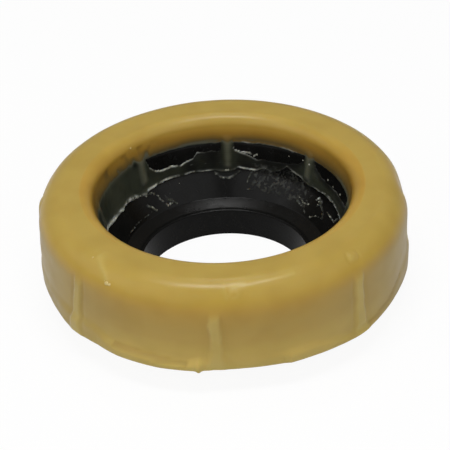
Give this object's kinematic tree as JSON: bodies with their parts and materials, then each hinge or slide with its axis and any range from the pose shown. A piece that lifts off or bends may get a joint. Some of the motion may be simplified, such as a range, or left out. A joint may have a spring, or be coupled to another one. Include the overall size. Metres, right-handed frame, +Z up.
{
  "type": "toilet pan seal",
  "caption": "Thick ribbed wax ring cast round a black plastic funnel, with a short spout through the middle, that seals a toilet pan to its waste pipe.",
  "frame": {"origin": "middle of the spout's lower rim, on the plane that the part stands on", "axes": "+Z up along the spout towards the pan, -Y towards one of the eight ribs, which faces nearest to the viewer in the picture"},
  "size_m": [0.1352, 0.1352, 0.0425],
  "materials": {
    "wax": "soft amber wax, satin and slightly see-through",
    "plastic": "black moulded plastic, satin"
  },
  "bodies": {
    "root": {"wax_ring": "wax", "plastic_horn": "plastic"}
  },
  "joints": []
}
